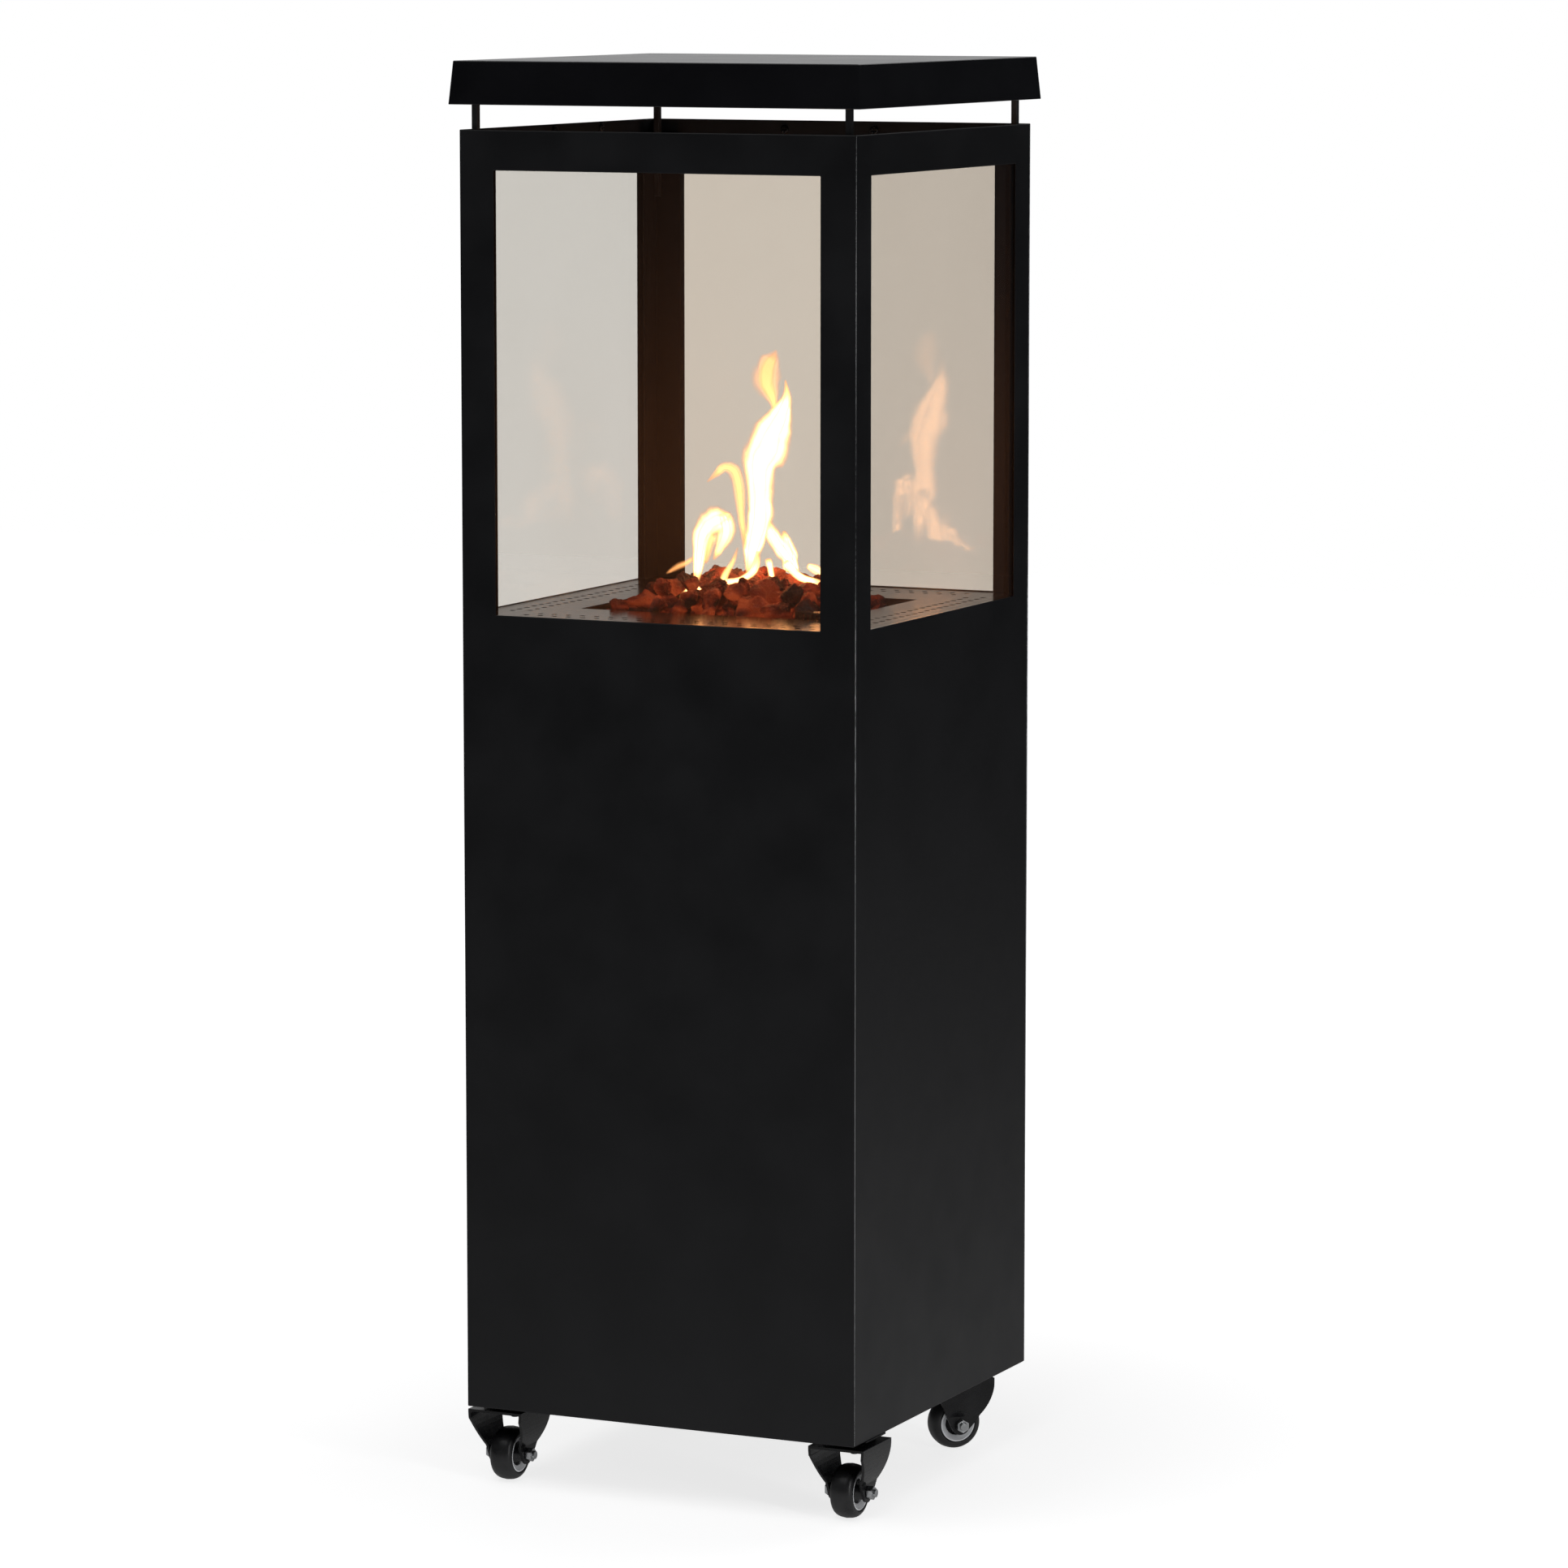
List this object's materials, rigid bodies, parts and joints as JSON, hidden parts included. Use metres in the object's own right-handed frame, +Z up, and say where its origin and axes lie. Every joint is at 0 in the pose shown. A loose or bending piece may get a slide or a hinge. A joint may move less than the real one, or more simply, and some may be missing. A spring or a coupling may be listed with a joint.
{
  "type": "outdoor heater",
  "caption": "Square gas patio heater on casters: black sheet-metal cabinet, glazed flame chamber with lava rock, floating canopy, rear controls and bottle door.",
  "frame": {"origin": "on the floor under the middle of the cabinet", "axes": "+Z up, -Y towards the front wall, +Y towards the rear door, +X to the right seen from the front"},
  "size_m": [0.4152, 0.4152, 1.3378],
  "materials": {
    "black_powder_coat": "satin black powder coat, fine texture",
    "canopy_coat": "smooth satin black paint",
    "post_steel": "plain steel",
    "deck_steel": "brushed stainless, heat tinted",
    "shield_steel": "brushed stainless",
    "heated_steel": "heat-darkened steel",
    "lava_rock": "rough porous rock",
    "copper_tube": "bright drawn copper tube",
    "ceramic": "glazed",
    "brass": "machined",
    "zinc_plate": "bright zinc plate",
    "black_plastic": "fine spark texture",
    "red_plastic": "moulded",
    "window_glass": "clear tempered glass, faintly warm grey",
    "fork_coat": "satin black paint",
    "tyre_rubber": "smooth satin",
    "hub_plastic": "moulded light grey"
  },
  "bodies": {
    "root": {"front_panel": "black_powder_coat", "right_panel": "black_powder_coat", "left_panel": "black_powder_coat", "rear_panel": "black_powder_coat", "base_plate": "black_powder_coat", "glass_channel_1": "black_powder_coat", "glass_channel_2": "black_powder_coat", "glass_channel_3": "black_powder_coat", "glass_channel_4": "black_powder_coat", "canopy": "canopy_coat", "canopy_post_1": "post_steel", "canopy_post_2": "post_steel", "canopy_post_3": "post_steel", "canopy_post_4": "post_steel", "deck_plate": "deck_steel", "pilot_hood": "deck_steel", "control_cup": "deck_steel", "heat_shield": "shield_steel", "burner_ring": "shield_steel", "burner_pan": "heated_steel", "lava_rock_bed": "lava_rock", "thermocouple": "copper_tube", "gas_pipe": "copper_tube", "ignition_electrode": "ceramic", "gas_jet": "brass", "valve_body": "brass", "hose_inlet": "brass", "upper_door_pivot": "zinc_plate", "lower_door_pivot": "zinc_plate", "piezo_igniter": "black_plastic", "glass_front": "window_glass", "glass_right": "window_glass", "glass_rear": "window_glass", "glass_left": "window_glass", "caster_plate_front_right": "fork_coat", "caster_plate_front_left": "fork_coat", "caster_plate_rear_right": "fork_coat", "caster_plate_rear_left": "fork_coat"},
    "door": {"rear_door": "black_powder_coat"},
    "latch": {"door_latch": "black_plastic"},
    "knob_push": {"push_collar": "zinc_plate"},
    "knob": {"control_knob": "black_plastic"},
    "igniter": {"igniter_button": "red_plastic"},
    "swivel_front_right": {"caster_fork_front_right": "fork_coat", "axle_bolt_front_right": "zinc_plate"},
    "wheel_front_right": {"tyre_front_right": "tyre_rubber", "hub_front_right": "hub_plastic"},
    "swivel_front_left": {"caster_fork_front_left": "fork_coat", "axle_bolt_front_left": "zinc_plate"},
    "wheel_front_left": {"tyre_front_left": "tyre_rubber", "hub_front_left": "hub_plastic"},
    "swivel_rear_right": {"caster_fork_rear_right": "fork_coat", "axle_bolt_rear_right": "zinc_plate"},
    "wheel_rear_right": {"tyre_rear_right": "tyre_rubber", "hub_rear_right": "hub_plastic"},
    "swivel_rear_left": {"caster_fork_rear_left": "fork_coat", "axle_bolt_rear_left": "zinc_plate"},
    "wheel_rear_left": {"tyre_rear_left": "tyre_rubber", "hub_rear_left": "hub_plastic"}
  },
  "joints": [
    {"name": "rear_door_swing", "type": "hinge", "parent": "root", "child": "door", "pos_m": [-0.145, 0.194, 0.385], "axis": [0, 0, 1], "range_deg": [0, 90]},
    {"name": "door_latch_turn", "type": "hinge", "parent": "door", "child": "latch", "pos_m": [0.125, 0.2, 0.385], "axis": [0, 1, 0], "range_deg": [0, 90]},
    {"name": "gas_knob_push", "type": "slide", "parent": "root", "child": "knob_push", "axis": [0, -1, 0], "range_m": [0, 0.004], "stiffness_N_per_m": 900},
    {"name": "gas_knob_turn", "type": "hinge", "parent": "knob_push", "child": "knob", "pos_m": [-0.03, 0.187, 0.735], "axis": [0, 1, 0], "range_deg": [0, 180]},
    {"name": "igniter_push", "type": "slide", "parent": "root", "child": "igniter", "axis": [0, -1, 0], "range_m": [0, 0.005], "stiffness_N_per_m": 700},
    {"name": "swivel_turn_front_right", "type": "hinge", "parent": "root", "child": "swivel_front_right", "pos_m": [0.177, -0.148, 0.065], "axis": [0, 0, 1], "continuous": true},
    {"name": "wheel_roll_front_right", "type": "hinge", "parent": "swivel_front_right", "child": "wheel_front_right", "pos_m": [0.177, -0.158, 0.0255], "axis": [1, 0, 0], "continuous": true},
    {"name": "swivel_turn_front_left", "type": "hinge", "parent": "root", "child": "swivel_front_left", "pos_m": [-0.177, -0.148, 0.065], "axis": [0, 0, 1], "continuous": true},
    {"name": "wheel_roll_front_left", "type": "hinge", "parent": "swivel_front_left", "child": "wheel_front_left", "pos_m": [-0.177, -0.158, 0.0255], "axis": [1, 0, 0], "continuous": true},
    {"name": "swivel_turn_rear_right", "type": "hinge", "parent": "root", "child": "swivel_rear_right", "pos_m": [0.159, 0.145, 0.065], "axis": [0, 0, 1], "continuous": true},
    {"name": "wheel_roll_rear_right", "type": "hinge", "parent": "swivel_rear_right", "child": "wheel_rear_right", "pos_m": [0.15218, 0.13769, 0.0255], "axis": [0.7314, -0.682, 0], "continuous": true},
    {"name": "swivel_turn_rear_left", "type": "hinge", "parent": "root", "child": "swivel_rear_left", "pos_m": [-0.159, 0.145, 0.065], "axis": [0, 0, 1], "continuous": true},
    {"name": "wheel_roll_rear_left", "type": "hinge", "parent": "swivel_rear_left", "child": "wheel_rear_left", "pos_m": [-0.15326, 0.13681, 0.0255], "axis": [0.8192, 0.5736, 0], "continuous": true}
  ]
}
